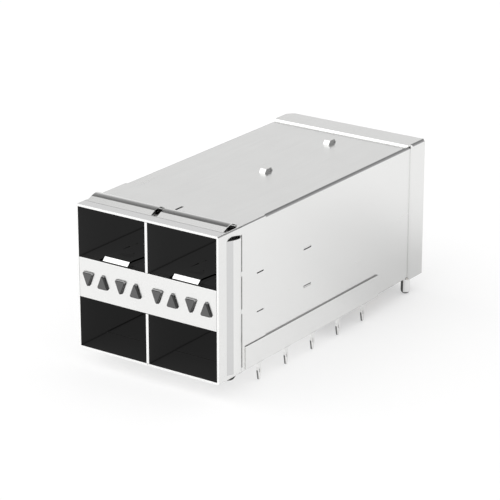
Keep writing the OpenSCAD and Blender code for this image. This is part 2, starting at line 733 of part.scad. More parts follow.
module connector(s) color([0.13, 0.13, 0.14]) placed() translate([s * housing_x, 0, 0])
difference() {
    union() {
        block([-housing_w / 2, block_y0, 0], [housing_w / 2, block_y1, housing_top]);
        for (p = posts)
            translate([p[0], p[1], -post_len]) cylinder(h = post_len + eps, r = post_r);
        for (card = [upper_card, lower_card])
            difference() {
                block([-nose_half, nose_at, card - nose_h / 2],
                      [nose_half, block_y0 + eps, card + nose_h / 2]);
                // lead-in round the nose's front edge
                for (m = [0, 1]) translate([0, 0, card]) mirror([0, 0, m])
                    along_x(-nose_half - over, nose_half + over)
                        polygon([[nose_at - eps, nose_h / 2 - 0.5], [nose_at - eps, nose_h],
                                 [nose_at + 0.5, nose_h / 2 + eps], [nose_at, nose_h / 2 - 0.5]]);
            }
    }
    // card slots
    for (card = [upper_card, lower_card])
        block([-card_w / 2, nose_at - over, card - card_h / 2],
              [card_w / 2, nose_at + card_d, card + card_h / 2]);
    // lanes for the light pipes beside the waist
    for (m = [0, 1]) mirror([m, 0, 0])
        block([waist_half, block_y0 - over, band_mid - lane_dz - pipe_s],
              [housing_w, block_y1 + over, band_mid + lane_dz + pipe_s]);
    // contact slots
    for (i = [0 : contact_count - 1])
        along_x(contact_x(i) - contact_t / 2 - fit_gap, contact_x(i) + contact_t / 2 + fit_gap)
            for (r = [0, 1]) {
                contact_slot(upper_card, 1 - 2 * r, leg_at[0][r], fit_gap);
                contact_slot(lower_card, 1 - 2 * r, leg_at[1][r], fit_gap);
            }
}

module connector_left() connector(LEFT);
module connector_right() connector(RIGHT);

module contacts(s, card, legs) color("goldenrod") placed() translate([s * housing_x, 0, 0])
    for (i = [0 : contact_count - 1], r = [0, 1])
        along_x(contact_x(i) - contact_t / 2, contact_x(i) + contact_t / 2)
            contact_outline(card, 1 - 2 * r, legs[r]);

module left_upper_contacts() contacts(LEFT, upper_card, leg_at[0]);
module left_lower_contacts() contacts(LEFT, lower_card, leg_at[1]);
module right_upper_contacts() contacts(RIGHT, upper_card, leg_at[0]);
module right_lower_contacts() contacts(RIGHT, lower_card, leg_at[1]);

module board_peg_left() board_peg(LEFT);
module board_peg_right() board_peg(RIGHT);

shell();
base_pan();
rear_cover();
separator();
divider();
emi_strip_top();
emi_strip_bottom();
emi_strip_left();
emi_strip_right();
divider_clip_upper();
divider_clip_lower();
light_pipe_1();
light_pipe_2();
light_pipe_3();
light_pipe_4();
light_pipe_5();
light_pipe_6();
light_pipe_7();
light_pipe_8();
light_pipe_holder_left();
light_pipe_holder_right();
connector_left();
connector_right();
left_upper_contacts();
left_lower_contacts();
right_upper_contacts();
right_lower_contacts();
board_peg_left();
board_peg_right();
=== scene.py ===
"""Looks for a stacked two by two SFP cage, laid over its CAD frame."""

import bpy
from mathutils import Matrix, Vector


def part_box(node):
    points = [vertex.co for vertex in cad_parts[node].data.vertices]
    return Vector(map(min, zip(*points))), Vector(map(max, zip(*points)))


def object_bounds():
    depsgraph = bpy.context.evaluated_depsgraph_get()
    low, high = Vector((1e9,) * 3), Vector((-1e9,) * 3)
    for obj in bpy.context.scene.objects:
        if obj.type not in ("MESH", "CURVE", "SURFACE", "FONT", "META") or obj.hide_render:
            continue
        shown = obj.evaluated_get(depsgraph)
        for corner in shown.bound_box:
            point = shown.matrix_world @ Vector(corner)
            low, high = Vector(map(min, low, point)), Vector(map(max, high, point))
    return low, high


bl_info = {
    "name": "SFP Cage Finish",
    "version": (1, 0, 0),
    "blender": (4, 5, 0),
    "location": "3D View > Sidebar > SFP Cage",
    "description": "Gives a press-fit SFP cage its plated sheet, springs, plastics and studio",
    "category": "Material",
}

import math

import bpy
from bpy.props import FloatProperty, FloatVectorProperty, PointerProperty

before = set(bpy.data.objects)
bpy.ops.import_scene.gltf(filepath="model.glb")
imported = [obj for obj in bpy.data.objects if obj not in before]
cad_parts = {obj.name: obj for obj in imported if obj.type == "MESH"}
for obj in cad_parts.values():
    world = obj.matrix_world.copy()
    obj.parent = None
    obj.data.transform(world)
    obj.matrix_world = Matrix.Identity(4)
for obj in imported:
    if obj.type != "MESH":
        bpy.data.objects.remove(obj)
CAD_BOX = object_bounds()

MM = 0.001
SHELL_LOW, SHELL_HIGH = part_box("shell")
BAND_LOW, BAND_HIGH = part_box("separator")
PAN_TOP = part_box("base_pan")[1].z
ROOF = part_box("emi_strip_top")[0].z
COVER_LOW, COVER_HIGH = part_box("rear_cover")
MOUTH_Y = SHELL_LOW.y
PORT_X = SHELL_HIGH.x / 2
# A hair past a face's own plane, so that a mask takes all of the face
HAIR = 0.02 * MM
# Half the thickness of the sheet, which tells its inner faces from its outer ones
HALF_SHEET = 0.15 * MM
# Flaps of the sprung strips: their roots and free edges, behind the mouth
FLAP_ROOT = MOUTH_Y + 2.2 * MM
FLAP_END = MOUTH_Y + 6.25 * MM
# How far the flaps of the side strips stop short of the shell's underside and of its top
FLAP_FOOT = 0.9 * MM
FLAP_HEAD = 1.4 * MM
# Latch tongues: tip, end of the lead-in ramp and end of the edges in sight, behind the mouth
LATCH_TIP = MOUTH_Y + 0.9 * MM
LATCH_CREST = MOUTH_Y + 1.55 * MM
LATCH_EDGE_END = MOUTH_Y + 9 * MM
# Between the edge of a tongue and that of its boss hole, from the middle of the port
LATCH_INSET = 2.4 * MM
# Just behind the light pipes' holders, where the pipes narrow to square bars
HOLDER_END = MOUTH_Y + 9 * MM

# Sizes of the surfaces' unevenness: rolling streaks and clouds of the plated sheet, flow
# streaks and fibres of the black plastic, clouds of the clear one
STREAK = 0.35 * MM
CLOUD = 6 * MM
FLOW = 0.8 * MM
FIBRE = 0.15 * MM
LENS_CLOUD = 1.2 * MM
# Depth of all relief, and the radius to which the sheet's edges are eased
RELIEF_DEPTH = 0.01 * MM
EASED_EDGE = 0.03 * MM
# Most of a noise texture lies between these two values
NOISE_LOW, NOISE_HIGH = 0.3, 0.7
# Painted shade inside the ports: how far a corner darkens, and what is left of the tone there
# and in the lower ports
CORNER_REACH = 0.4 * MM
CORNER_LEVEL = 0.35
LOWER_PORT_LEVEL = 0.82

# How squarely a face has to look one way to count as facing it
FACING = 0.9

# Cut sides of the roof's bridges, and of the divider's tabs that fill them, which take painted
# shade
BRIDGE_SIDES = [("side_nx", "GREATER_THAN", FACING), ("z", "GREATER_THAN", ROOF)]

# Painted shade on the side walls, as (millimetres along the wall, level) out of WALL_SPAN: the
# first row holds at the height WALL_FOOT and the second at WALL_HEAD. The bands lean towards
# the front by WALL_SLANT for each millimetre of height.
WALL_SLANT = 1.4
WALL_SPAN = 90
WALL_FOOT, WALL_HEAD = 4 * MM, SHELL_HIGH.z - 2 * MM
WALL_LOW = (
    (0, 0.845), (15, 0.815), (30, 0.755), (40, 0.665), (47, 0.62), (55, 0.585), (61, 0.605),
    (69, 0.7), (78, 0.79))
WALL_HIGH = ((0, 0.81), (34, 0.8), (50, 0.77), (60, 0.785), (72, 0.815))

# What stands round the cage, as (height in degrees, level) where 1 is a softbox. Each
# sector is (from, to) in degrees round from +X to the left; the walls fill the rest.
WALLS = ((0, 0.45), (25, 0.47), (45, 0.7), (62, 0.7), (72, 0.5))
SECTORS = (
    # grey card behind the right side, a dark flag above it, a softbox over both
    ((25, 85), ((0, 0.42), (22, 0.42), (30, 0.22), (44, 0.22), (60, 0.9), (72, 0.5))),
    # grey card low down, shading to a dark gap above it, paler card overhead
    ((85, 168), ((0, 0.475), (28, 0.475), (30, 0.3), (34, 0.2), (38, 0.2), (41, 0.1),
                 (47, 0.04), (50, 0.46), (72, 0.5))),
    # tall softbox at the front left
    ((168, 285), ((0, 0.47), (24, 0.5), (34, 1.0), (64, 1.0), (72, 0.5))),
)
# Soft edge of a sector, in degrees each way
SECTOR_BLUR = 5


def linear(hex_colour):
    """Turn an sRGB hex value into linear RGB."""
    channels = [int(hex_colour[i:i + 2], 16) / 255 for i in (1, 3, 5)]
    return tuple(c / 12.92 if c <= 0.04045 else ((c + 0.055) / 1.055) ** 2.4 for c in channels)


def opaque(rgb):
    """Give a linear colour the fourth channel that sockets expect."""
    return (*rgb, 1.0)


def add_node(tree, kind, inputs=None, stops=(), **settings):
    """Add one node: settings are its attributes, inputs are links or plain values, and
    stops are the (place, grey level) pairs of a colour ramp, in rising order."""
    node = tree.nodes.new(kind)
    for key, value in settings.items():
        setattr(node, key, value)
    if stops:
        steps = node.color_ramp.elements
        while len(steps) < len(stops):
            steps.new(0.5)
        for step, (place, level) in zip(steps, stops):
            step.position = place
            step.color = opaque([level] * 3)
    for key, value in (inputs or {}).items():
        if isinstance(value, bpy.types.NodeSocket):
            tree.links.new(value, node.inputs[key])
        else:
            node.inputs[key].default_value = value
    return node


def new_material(name):
    """Make an empty node material and return it with its tree and output node."""
    material = bpy.data.materials.new(name)
    material.use_nodes = True
    material.node_tree.nodes.clear()
    return material, material.node_tree, add_node(material.node_tree, "ShaderNodeOutputMaterial")


def paint(material, *names):
    """Give CAD nodes a material in place of every slot they have."""
    for name in names:
        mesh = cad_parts[name].data
        mesh.materials.clear()
        mesh.materials.append(material)


# ---- finishes --------------------------------------------------------------


def compass(tree):
    """Give the sockets that masks test: a point's place, and the way its face looks."""
    place = add_node(tree, "ShaderNodeTexCoord").outputs["Object"]
    facing = add_node(tree, "ShaderNodeNewGeometry").outputs["Normal"]
    sockets = {"place": place}
    for prefix, vector in (("", place), ("n", facing)):
        axes = add_node(tree, "ShaderNodeSeparateXYZ", {0: vector})
        for axis in "xyz":
            sockets[prefix + axis] = axes.outputs[axis.upper()]
    for key in ("x", "nx"):
        sockets["side_" + key] = add_node(
            tree, "ShaderNodeMath", {0: sockets[key]}, operation="ABSOLUTE"
        ).outputs[0]
    return sockets


def mask(tree, sockets, regions):
    """Make a mask that is 1 in any of the regions: each is a list of (socket, operation, value)
    that must all hold."""
    total = None
    for region in regions:
        product = None
        for key, operation, value in region:
            test = add_node(
                tree, "ShaderNodeMath", {0: sockets[key], 1: value}, operation=operation
            ).outputs[0]
            product = test if product is None else add_node(
                tree, "ShaderNodeMath", {0: product, 1: test}, operation="MULTIPLY"
            ).outputs[0]
        total = product if total is None else add_node(
            tree, "ShaderNodeMath", {0: total, 1: product}, operation="MAXIMUM"
        ).outputs[0]
    return total


def paint_port_shade(tree, surface, finish, where, z):
    """Lay the painted shade of the ports' depth over a surface where the mask is 1: a dull dark
    tone that glows faintly of itself, darker in its corners and in the lower ports."""
    corner = add_node(
        tree, "ShaderNodeAmbientOcclusion", {"Distance": CORNER_REACH}, samples=8
    ).outputs["AO"]
    depth = add_node(
        tree, "ShaderNodeMapRange", {0: corner, 1: 0.45, 2: 0.95, 3: CORNER_LEVEL, 4: 1.0}
    ).outputs[0]
    level = add_node(
        tree, "ShaderNodeMapRange",
        {0: z, 1: BAND_LOW.z, 2: BAND_HIGH.z, 3: LOWER_PORT_LEVEL, 4: 1.0}
    ).outputs[0]
    depth = add_node(
        tree, "ShaderNodeMath", {0: depth, 1: level}, operation="MULTIPLY").outputs[0]
    tone = add_node(
        tree, "ShaderNodeMix",
        {0: depth, 6: opaque((0.0, 0.0, 0.0)), 7: opaque(finish.inside)}, data_type="RGBA",
    ).outputs[2]
    # Painted shade of the ports, with a painted glow of its own
    dull = add_node(
        tree, "ShaderNodeBsdfPrincipled",
        {"Base Color": opaque([c * 0.3 for c in finish.inside]), "Roughness": 0.6,
         "Specular IOR Level": 0.1, "Emission Color": tone,
         "Emission Strength": finish.port_glow},
    ).outputs[0]
    return add_node(tree, "ShaderNodeMixShader", {0: where, 1: surface, 2: dull}).outputs[0]


def painted_wall_shade(tree, sockets):
    """Give the grey of the painted shade on a side wall: bright high up at the rear,
    darker in a slanting band down to its rear foot."""
    # Lines that slant down to the rear, as millimetres along the wall's foot
    slant = add_node(
        tree, "ShaderNodeMath", {0: sockets["z"], 1: WALL_SLANT, 2: sockets["y"]},
        operation="MULTIPLY_ADD").outputs[0]
    along = add_node(
        tree, "ShaderNodeMath", {0: slant, 1: 1 / (WALL_SPAN * MM)}, operation="MULTIPLY"
    ).outputs[0]
    low, high = [
        add_node(
            tree, "ShaderNodeValToRGB", {0: along},
            stops=[(place / WALL_SPAN, level) for place, level in levels]).outputs[0]
        for levels in (WALL_LOW, WALL_HIGH)]
    raised = add_node(
        tree, "ShaderNodeMapRange", {0: sockets["z"], 1: WALL_FOOT, 2: WALL_HEAD}).outputs[0]
    return add_node(
        tree, "ShaderNodeMix", {0: raised, 6: low, 7: high}, data_type="RGBA").outputs[2]


def nickel_plated_sheet(
        name, finish, inside=(), tints=(), sheared=(), walls=False, sprung=(), unlit=()):
    """Nickel-plated cold-rolled sheet: a soft mirror with faint streaks along the rolling
    direction, with painted shade in its folds, on sheared edges and inside the ports.
    Tints are pairs of a tone and the regions that have it; sprung are the smoother regions,
    and unlit are edges that no light reaches."""
    material, tree, output = new_material(name)
    sockets = compass(tree)

    # Rolling streaks run front to rear, drawn coarse enough to show
    stretched = add_node(
        tree, "ShaderNodeMapping", {"Vector": sockets["place"], "Scale": (1.0, 0.02, 1.0)}
    ).outputs[0]
    streaks = add_node(
        tree, "ShaderNodeTexNoise",
        {"Vector": stretched, "Scale": 1 / STREAK, "Detail": 3.0, "Roughness": 0.6},
    ).outputs[0]
    # Plating is never quite even: the sheen changes in soft clouds
    clouds = add_node(
        tree, "ShaderNodeTexNoise",
        {"Vector": sockets["place"], "Scale": 1 / CLOUD, "Detail": 2.0, "Roughness": 0.5},
    ).outputs[0]
    worn = add_node(
        tree, "ShaderNodeMapRange",
        {0: streaks, 1: NOISE_LOW, 2: NOISE_HIGH, 3: finish.sheet_roughness * 0.88,
         4: finish.sheet_roughness * 1.12},
    ).outputs[0]
    if sprung:
        # Springs are rolled harder, which leaves them smoother
        smooth = add_node(
            tree, "ShaderNodeMath",
            {0: worn, 1: finish.spring_roughness / finish.sheet_roughness},
            operation="MULTIPLY").outputs[0]
        worn = add_node(
            tree, "ShaderNodeMix", {0: mask(tree, sockets, sprung), 2: worn, 3: smooth}
        ).outputs[0]
    uneven = add_node(
        tree, "ShaderNodeMapRange",
        {0: clouds, 1: NOISE_LOW, 2: NOISE_HIGH, 3: -0.012, 4: 0.012}
    ).outputs[0]
    rough = add_node(tree, "ShaderNodeMath", {0: worn, 1: uneven}, operation="ADD").outputs[0]

    # Painted shade in the folds between the top and the sides, darkest half way round
    across = add_node(
        tree, "ShaderNodeMath", {0: sockets["side_nx"], 1: sockets["nz"]}, operation="MULTIPLY"
    ).outputs[0]
    fold_and_cut_shade = add_node(
        tree, "ShaderNodeMapRange", {0: across, 1: 0.03, 2: 0.14, 3: 0.0, 4: 1.0}
    ).outputs[0]
    if sheared:
        cut = mask(tree, sockets, sheared)
        fold_and_cut_shade = add_node(tree, "ShaderNodeMath", {0: fold_and_cut_shade, 1: cut}, operation="MAXIMUM").outputs[0]
    colour = opaque(finish.sheet)
    if walls:
        # Sides, with the lower half of their folds, take the painted wall shade
        wall = mask(tree, sockets, [[("side_nx", "GREATER_THAN", 0.7)]])
        dimmed = add_node(
            tree, "ShaderNodeMix",
            {0: 1.0, 6: opaque(finish.polished), 7: painted_wall_shade(tree, sockets)},
            data_type="RGBA", blend_type="MULTIPLY").outputs[2]
        colour = add_node(
            tree, "ShaderNodeMix", {0: wall, 6: colour, 7: dimmed}, data_type="RGBA").outputs[2]
    colour = add_node(
        tree, "ShaderNodeMix", {0: fold_and_cut_shade, 6: colour, 7: opaque(finish.fold_and_edge_shade)},
        data_type="RGBA",
    ).outputs[2]
    for tone, regions in tints:
        where = mask(tree, sockets, regions)
        colour = add_node(
            tree, "ShaderNodeMix", {0: where, 6: colour, 7: opaque(tone)}, data_type="RGBA"
        ).outputs[2]

    # Edges of stamped sheet are eased, never razor sharp
    eased = add_node(tree, "ShaderNodeBevel", {"Radius": EASED_EDGE}, samples=4).outputs[0]
    relief = add_node(
        tree, "ShaderNodeBump",
        {"Height": streaks, "Strength": 0.05, "Distance": RELIEF_DEPTH, "Normal": eased},
    ).outputs[0]
    surface = add_node(
        tree, "ShaderNodeBsdfPrincipled",
        {"Base Color": colour, "Metallic": 1.0, "Roughness": rough, "Normal": relief},
    ).outputs[0]
    if inside:
        surface = paint_port_shade(tree, surface, finish, mask(tree, sockets, inside), sockets["z"])
    if unlit:
        black = add_node(
            tree, "ShaderNodeBsdfDiffuse", {"Color": opaque((0.0, 0.0, 0.0))}).outputs[0]
        surface = add_node(
            tree, "ShaderNodeMixShader", {0: mask(tree, sockets, unlit), 1: surface, 2: black}
        ).outputs[0]
    tree.links.new(surface, output.inputs["Surface"])
    return material


def moulded_lcp(name, finish, roughness, inside):
    """Glass-filled liquid crystal polymer, injection moulded: near-black and dull, with
    pale flow streaks and a slight fibre texture."""
    material, tree, output = new_material(name)
    sockets = compass(tree)
    # The plastic flowed along the housing as it filled the mould
    stretched = add_node(
        tree, "ShaderNodeMapping", {"Vector": sockets["place"], "Scale": (1.0, 0.25, 1.0)}
    ).outputs[0]
    flow = add_node(
        tree, "ShaderNodeTexNoise",
        {"Vector": stretched, "Scale": 1 / FLOW, "Detail": 4.0, "Distortion": 0.6},
    ).outputs[0]
    # Fibres just under the skin lift it
    fibre = add_node(
        tree, "ShaderNodeTexNoise",
        {"Vector": sockets["place"], "Scale": 1 / FIBRE, "Detail": 1.0}
    ).outputs[0]
    tint = add_node(
        tree, "ShaderNodeMix",
        {0: flow, 6: opaque(finish.plastic), 7: opaque([c * 1.7 for c in finish.plastic])},
        data_type="RGBA",
    ).outputs[2]
    relief = add_node(
        tree, "ShaderNodeBump", {"Height": fibre, "Strength": 0.2, "Distance": RELIEF_DEPTH}
    ).outputs[0]
    surface = add_node(
        tree, "ShaderNodeBsdfPrincipled",
        {"Base Color": tint, "Roughness": roughness, "IOR": 1.55, "Normal": relief},
    ).outputs[0]
    surface = paint_port_shade(tree, surface, finish, mask(tree, sockets, inside), sockets["z"])
    tree.links.new(surface, output.inputs["Surface"])
    return material


def moulded_polycarbonate(name, finish, inside):
    """Clear polycarbonate, injection moulded: grey where it shows the dark behind it,
    near-black round its edges, pale where light falls on a ledge, with a glossy skin."""
    material, tree, output = new_material(name)
    sockets = compass(tree)
    cloud = add_node(
        tree, "ShaderNodeTexNoise",
        {"Vector": sockets["place"], "Scale": 1 / LENS_CLOUD, "Detail": 1.0}
    ).outputs[0]
    shade = add_node(
        tree, "ShaderNodeMapRange",
        {0: cloud, 1: NOISE_LOW, 2: NOISE_HIGH, 3: 0.96, 4: 1.04}
    ).outputs[0]
    # Painted tones: grey front end, painted highlight on the ledge on top, painted shade
    # elsewhere
    end = mask(tree, sockets, [[("ny", "LESS_THAN", -0.95)]])
    amount = add_node(tree, "ShaderNodeMath", {0: end, 1: shade}, operation="MULTIPLY").outputs[0]
    tint = add_node(
        tree, "ShaderNodeMix",
        {0: amount, 6: opaque(finish.lens_rim), 7: opaque(finish.lens)}, data_type="RGBA",
    ).outputs[2]
    ledge = mask(tree, sockets, [[("nz", "GREATER_THAN", 0.6)]])
    tint = add_node(
        tree, "ShaderNodeMix", {0: ledge, 6: tint, 7: opaque(finish.lens_ledge)},
        data_type="RGBA",
    ).outputs[2]
    surface = add_node(
        tree, "ShaderNodeBsdfPrincipled",
        {"Base Color": tint, "Roughness": 0.22, "IOR": 1.58},
    ).outputs[0]
    surface = paint_port_shade(tree, surface, finish, mask(tree, sockets, inside), sockets["z"])
    tree.links.new(surface, output.inputs["Surface"])
    return material


def plated_metal(name, colour, roughness, grain, dark=(), dark_colour=(0.0, 0.0, 0.0)):
    """Turned or stamped metal under a thin bright plate: clean reflections, faintly
    broken by tool marks grain millimetres apart, darker in the regions named dark."""
    material, tree, output = new_material(name)
    sockets = compass(tree)
    tint = opaque(colour)
    if dark:
        tint = add_node(
            tree, "ShaderNodeMix",
            {0: mask(tree, sockets, dark), 6: tint, 7: opaque(dark_colour)}, data_type="RGBA",
        ).outputs[2]
    stretched = add_node(
        tree, "ShaderNodeMapping", {"Vector": sockets["place"], "Scale": (0.2, 0.2, 1.0)}
    ).outputs[0]
    marks = add_node(
        tree, "ShaderNodeTexNoise",
        {"Vector": stretched, "Scale": 1 / (grain * MM), "Detail": 2.0},
    ).outputs[0]
    rough = add_node(
        tree, "ShaderNodeMapRange",
        {0: marks, 1: NOISE_LOW, 2: NOISE_HIGH, 3: roughness * 0.8, 4: roughness * 1.2},
    ).outputs[0]
    relief = add_node(
        tree, "ShaderNodeBump", {"Height": marks, "Strength": 0.05, "Distance": RELIEF_DEPTH}
    ).outputs[0]
    surface = add_node(
        tree, "ShaderNodeBsdfPrincipled",
        {"Base Color": tint, "Metallic": 1.0, "Roughness": rough, "Normal": relief},
    ).outputs[0]
    tree.links.new(surface, output.inputs["Surface"])
    return material


# ---- settings --------------------------------------------------------------


class CageFinishes(bpy.types.PropertyGroup):
    """Colours and textures of the cage"""

    sheet: FloatVectorProperty(
        name="Sheet", description="Plated sheet in the light",
        subtype="COLOR", size=3, min=0, max=1, default=linear("#eeeeed"))
    # Painted shade in the folds, on sheared edges and along press lines
    fold_and_edge_shade: FloatVectorProperty(
        name="Burnished", description="Folds, sheared edges and press lines of the sheet",
        subtype="COLOR", size=3, min=0, max=1, default=linear("#b0b0b0"))
    # Painted shade on the lead-in ramps of the side flaps
    ramp_shade: FloatVectorProperty(
        name="Satin", description="Lead-in ramps of the side flaps",
        subtype="COLOR", size=3, min=0, max=1, default=linear("#d1d1d1"))
    # Painted shade on the flat lips of the sprung strips
    lip_shade: FloatVectorProperty(
        name="Lip", description="Flat lips of the sprung strips",
        subtype="COLOR", size=3, min=0, max=1, default=linear("#e2e2e2"))
    # Painted shade on the cut edges of pins and side flaps, and on the walls under the flaps
    edge_and_gap_shade: FloatVectorProperty(
        name="Bare steel", description="Cut edges of pins and side flaps, and rubbed walls",
        subtype="COLOR", size=3, min=0, max=1, default=linear("#707070"))
    # Painted highlight on rims and the cover's bevel, and the top level of the walls' painted
    # shade
    polished: FloatVectorProperty(
        name="Polished", description="Rims, the cover's bevel, and the brightest of the walls",
        subtype="COLOR", size=3, min=0, max=1, default=linear("#fefefd"))
    sheet_roughness: FloatProperty(
        name="Sheet roughness", description="Satin of the plated sheet",
        subtype="FACTOR", min=0.05, max=0.6, default=0.24)
    spring_roughness: FloatProperty(
        name="Spring roughness", description="Satin of the sprung strips",
        subtype="FACTOR", min=0.05, max=0.6, default=0.13)
    # Painted shade inside the ports
    inside: FloatVectorProperty(
        name="Inside", description="Faces inside the ports",
        subtype="COLOR", size=3, min=0, max=1, default=linear("#2e2e2e"))
    # Painted glow of the ports' painted shade
    port_glow: FloatProperty(
        name="Depth light", description="Light left in the depth of the ports",
        subtype="FACTOR", min=0, max=1, default=0.7)
    lens: FloatVectorProperty(
        name="Lens", description="Front end of a light pipe",
        subtype="COLOR", size=3, min=0, max=1, default=linear("#525252"))
    # Painted shade on the broken edges and bars of a light pipe
    lens_rim: FloatVectorProperty(
        name="Lens rim", description="Broken edges and bars of a light pipe",
        subtype="COLOR", size=3, min=0, max=1, default=linear("#202020"))
    # Painted highlight on the upward edges of a light pipe's front end
    lens_ledge: FloatVectorProperty(
        name="Lens ledge", description="Upward edges of a light pipe's front end",
        subtype="COLOR", size=3, min=0, max=1, default=linear("#9c9c9c"))
    plastic: FloatVectorProperty(
        name="Plastic", description="Connector housings and pipe holders",
        subtype="COLOR", size=3, min=0, max=1, default=linear("#1b1b1d"))
    contact: FloatVectorProperty(
        name="Contacts", description="Gold flash on the contacts",
        subtype="COLOR", size=3, min=0, max=1, default=linear("#d9b36a"))
    peg: FloatVectorProperty(
        name="Pegs", description="Bright plate on the board pegs",
        subtype="COLOR", size=3, min=0, max=1, default=linear("#e6e6e6"))
    peg_flank: FloatVectorProperty(
        name="Peg flanks", description="Far flanks and rounded ends of the board pegs",
        subtype="COLOR", size=3, min=0, max=1, default=linear("#4c4c4c"))


class CageStage(bpy.types.PropertyGroup):
    """Studio round the cage"""

    floor_size: FloatProperty(
        name="Floor", description="Width of the floor",
        subtype="DISTANCE", unit="LENGTH", min=1, max=20, default=6.0)
    floor: FloatVectorProperty(
        name="Floor colour", description="Pale matt floor",
        subtype="COLOR", size=3, min=0, max=1, default=linear("#bcbcbc"))
    lens_mm: FloatProperty(
        name="Lens", description="Focal length of the camera in millimetres",
        subtype="DISTANCE_CAMERA", min=50, max=300, default=168.4)
    azimuth: FloatProperty(
        name="Azimuth", description="How far the camera stands round to the right",
        subtype="ANGLE", unit="ROTATION", default=math.radians(34.961))
    elevation: FloatProperty(
        name="Elevation", description="How far the camera looks down",
        subtype="ANGLE", unit="ROTATION", default=math.radians(19.966))
    position: FloatVectorProperty(
        name="Camera", description="Where the camera stands",
        subtype="TRANSLATION", unit="LENGTH", size=3, default=(0.2207, -0.29327, 0.15157))
    brightest: FloatProperty(
        name="Softbox", description="Strength of a softbox; cards and walls are shares of it",
        min=0, max=10, default=1.7)
    floor_glow: FloatProperty(
        name="Floor glow", description="Light that the backlit floor gives by itself",
        min=0, max=2, default=0.52)


# ---- operators -------------------------------------------------------------


class CAGE_OT_sheet(bpy.types.Operator):
    """Finish the folded shell, the base pan and the rear cover"""

    bl_idname = "cage.sheet"
    bl_label = "Finish Sheet Metal"

    def execute(self, context):
        finish = context.scene.cage_finishes
        within = [
            ("y", "GREATER_THAN", MOUTH_Y + HAIR),
            ("side_x", "LESS_THAN", SHELL_HIGH.x - HALF_SHEET),
            ("z", "GREATER_THAN", SHELL_LOW.z + HALF_SHEET),
            ("z", "LESS_THAN", ROOF - HALF_SHEET),
        ]
        # Painted shade on the wall under the free edges of the side flaps and just behind them
        shaded = [
            ("side_nx", "GREATER_THAN", FACING),
            ("y", "GREATER_THAN", FLAP_END - 0.6 * MM), ("y", "LESS_THAN", FLAP_END + 0.5 * MM),
        ]
        # Painted highlight on the front rims
        rims = [("ny", "LESS_THAN", -FACING), ("y", "LESS_THAN", MOUTH_Y + 0.05 * MM)]
        # Painted shade along the top edges of the pan's flanges
        shaded_flange_tops = [("nz", "GREATER_THAN", FACING), ("z", "GREATER_THAN", PAN_TOP - 0.1 * MM)]
        # Painted highlight on the top just in front of the cover's front edge
        cover_edge_highlight = [
            ("nz", "GREATER_THAN", FACING), ("y", "GREATER_THAN", COVER_LOW.y - 0.4 * MM),
            ("z", "GREATER_THAN", ROOF - 0.1 * MM),
        ]
        # Painted highlight on the front edges of the pan, and painted shade on the cut edges of
        # its pins below their shoulders
        pan_front = [("ny", "LESS_THAN", -FACING), ("z", "GREATER_THAN", SHELL_LOW.z - 0.5 * MM)]
        shaded_pin_edges = [("ny", "LESS_THAN", -0.3), ("z", "LESS_THAN", SHELL_LOW.z - 1.1 * MM)]
        # Painted highlight on the cover's front bevel
        bevel = [("ny", "LESS_THAN", -0.2), ("z", "GREATER_THAN", ROOF)]
        shell = nickel_plated_sheet(
            "nickel_plated_shell_sheet", finish, [within],
            [(finish.polished, [rims, cover_edge_highlight]), (finish.edge_and_gap_shade, [shaded])], [BRIDGE_SIDES],
            walls=True)
        pan = nickel_plated_sheet(
            "nickel_plated_pan_sheet", finish, [within],
            [(finish.polished, [pan_front]), (finish.edge_and_gap_shade, [shaded_pin_edges])], [shaded_flange_tops],
            walls=True)
        cover = nickel_plated_sheet(
            "nickel_plated_cover_sheet", finish,
            [[*within, ("y", "LESS_THAN", COVER_HIGH.y - 0.1 * MM)]],
            [(finish.polished, [bevel])], walls=True)
        paint(shell, "shell")
        paint(pan, "base_pan")
        paint(cover, "rear_cover")
        return {"FINISHED"}


class CAGE_OT_separator(bpy.types.Operator):
    """Finish the separator and the divider between the ports"""

    bl_idname = "cage.separator"
    bl_label = "Finish Separator And Divider"

    def execute(self, context):
        finish = context.scene.cage_finishes
        behind_ramps = [
            ("y", "GREATER_THAN", LATCH_CREST),
            ("side_x", "LESS_THAN", SHELL_HIGH.x - 0.2 * MM),
        ]
        # Between the two floors, behind the band's front wall
        channel = [
            ("y", "GREATER_THAN", MOUTH_Y + 0.31 * MM),
            ("z", "GREATER_THAN", BAND_LOW.z + 0.7 * MM),
            ("z", "LESS_THAN", BAND_HIGH.z - 0.7 * MM),
        ]
        # Cut edges of the upper latch tongues, each side of a port's middle
        tongue_edges = [
            ("side_nx", "GREATER_THAN", 0.95), ("z", "GREATER_THAN", BAND_HIGH.z - 1.2 * MM),
            ("y", "GREATER_THAN", LATCH_TIP), ("y", "LESS_THAN", LATCH_EDGE_END),
        ]
        inner = [*tongue_edges, ("side_x", "LESS_THAN", PORT_X - LATCH_INSET)]
        outer = [
            *tongue_edges, ("side_x", "GREATER_THAN", PORT_X + LATCH_INSET),
            ("side_x", "LESS_THAN", SHELL_HIGH.x - 2 * MM),
        ]
        material = nickel_plated_sheet(
            "nickel_plated_latch_sheet", finish, [behind_ramps, channel], unlit=[inner, outer])
        paint(material, "separator")
        behind_rim = [("y", "GREATER_THAN", MOUTH_Y + 0.12 * MM), ("z", "LESS_THAN", ROOF)]
        # Painted highlight on the divider's front rim
        rim = [("ny", "LESS_THAN", -FACING)]
        material = nickel_plated_sheet(
            "nickel_plated_divider_sheet", finish, [behind_rim], [(finish.polished, [rim])],
            [BRIDGE_SIDES])
        paint(material, "divider", "divider_clip_upper", "divider_clip_lower")
        return {"FINISHED"}


